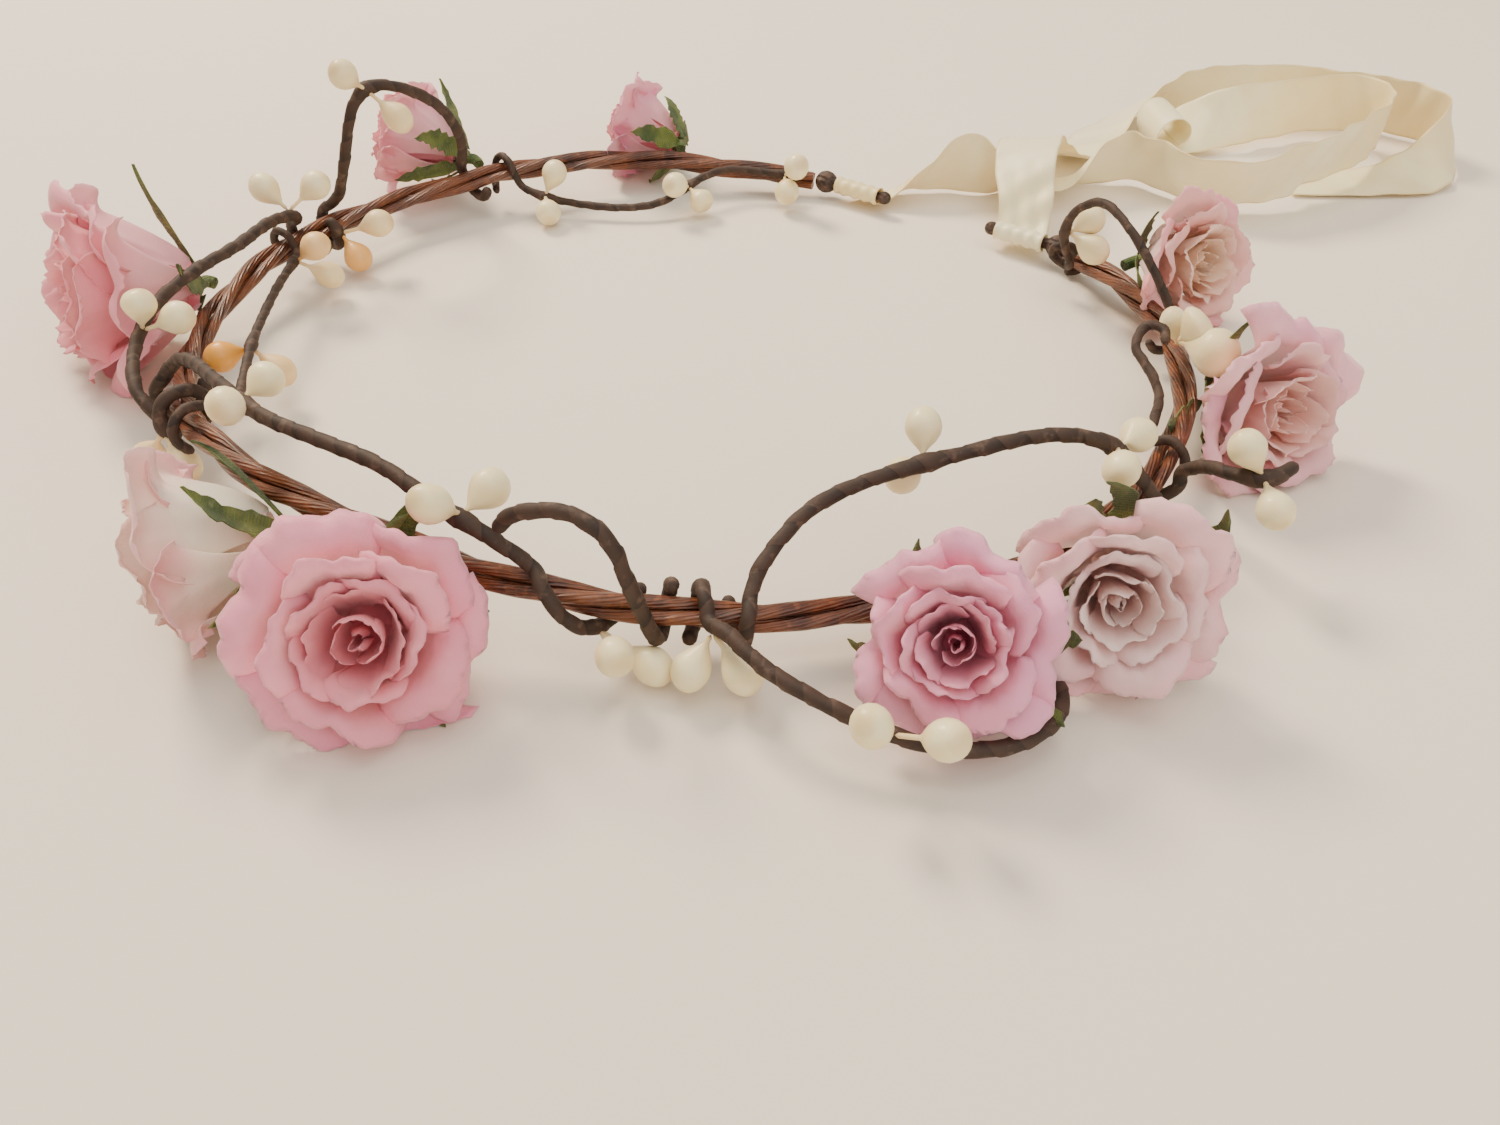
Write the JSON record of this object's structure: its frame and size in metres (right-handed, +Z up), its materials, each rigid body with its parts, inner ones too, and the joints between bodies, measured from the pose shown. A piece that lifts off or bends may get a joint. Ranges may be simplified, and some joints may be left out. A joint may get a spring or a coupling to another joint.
{
  "type": "flower crown",
  "caption": "Open oval wire headband of twisted strands with a taped berry garland, satin roses and two ribbon ties at the back.",
  "frame": {"origin": "centre of the crown's footprint, without its ribbons, on the surface that it lies on", "axes": "+X across the head opening's long side, +Y towards the open back where the ribbons are tied, +Z up"},
  "size_m": [0.3421, 0.2585, 0.0486],
  "materials": {
    "band_wire": "waxed",
    "end_tape": "matte",
    "garland_tape": "matte",
    "berry_cream": "satin",
    "leaf_green": "woven",
    "glue_clear": "clear",
    "ribbon_ivory": "satin",
    "petal_pink": "matte",
    "petal_blush": "matte",
    "petal_mauve": "matte",
    "petal_pale": "matte"
  },
  "bodies": {
    "crown": {"band_end_left": "end_tape", "band_end_right": "end_tape", "band_strand_1": "band_wire", "band_strand_2": "band_wire", "band_strand_3": "band_wire", "berry_pair_01": "berry_cream", "berry_pair_02": "berry_cream", "berry_pair_03": "berry_cream", "berry_pair_04": "berry_cream", "berry_pair_05": "berry_cream", "berry_pair_06": "berry_cream", "berry_pair_07": "berry_cream", "berry_pair_08": "berry_cream", "berry_pair_09": "berry_cream", "berry_pair_10": "berry_cream", "berry_pair_11": "berry_cream", "berry_pair_12": "berry_cream", "berry_pair_13": "berry_cream", "berry_pair_14": "berry_cream", "berry_pair_15": "berry_cream", "berry_pair_16": "berry_cream", "berry_pair_17": "berry_cream", "berry_pair_18": "berry_cream", "berry_pair_19": "berry_cream", "berry_pair_20": "berry_cream", "rose_1_bloom": "petal_pink", "rose_1_calyx": "leaf_green", "rose_2_bloom": "petal_pink", "rose_2_calyx": "leaf_green", "rose_3_bloom": "petal_pink", "rose_3_calyx": "leaf_green", "rose_4_bloom": "petal_blush", "rose_4_calyx": "leaf_green", "rose_5_bloom": "petal_pink", "rose_5_calyx": "leaf_green", "rose_5_glue": "glue_clear", "rose_6_bloom": "petal_mauve", "rose_6_calyx": "leaf_green", "rose_6_glue": "glue_clear", "rose_7_bloom": "petal_pale", "rose_7_calyx": "leaf_green", "rose_7_glue": "glue_clear", "rose_8_bloom": "petal_blush", "rose_8_calyx": "leaf_green", "rose_8_glue": "glue_clear", "rose_9_bloom": "petal_blush", "rose_9_calyx": "leaf_green", "vine_back_arch": "garland_tape", "vine_front_arch": "garland_tape", "vine_front_left": "garland_tape", "vine_front_low_loop": "garland_tape", "vine_front_right_arch": "garland_tape", "vine_left_end": "garland_tape", "vine_left_inner": "garland_tape", "vine_left_loop": "garland_tape", "vine_right_branch": "garland_tape", "vine_right_curl": "garland_tape", "vine_right_end": "garland_tape"},
    "ribbon_tie": {"ribbon_left": "ribbon_ivory", "ribbon_right": "ribbon_ivory"}
  },
  "joints": [
    {"name": "tie_swing", "type": "hinge", "parent": "crown", "child": "ribbon_tie", "pos_m": [0.06515, 0.06752, 0.00473], "axis": [0.8112, -0.5847, 0.0133], "range_deg": [-90, 75]}
  ]
}
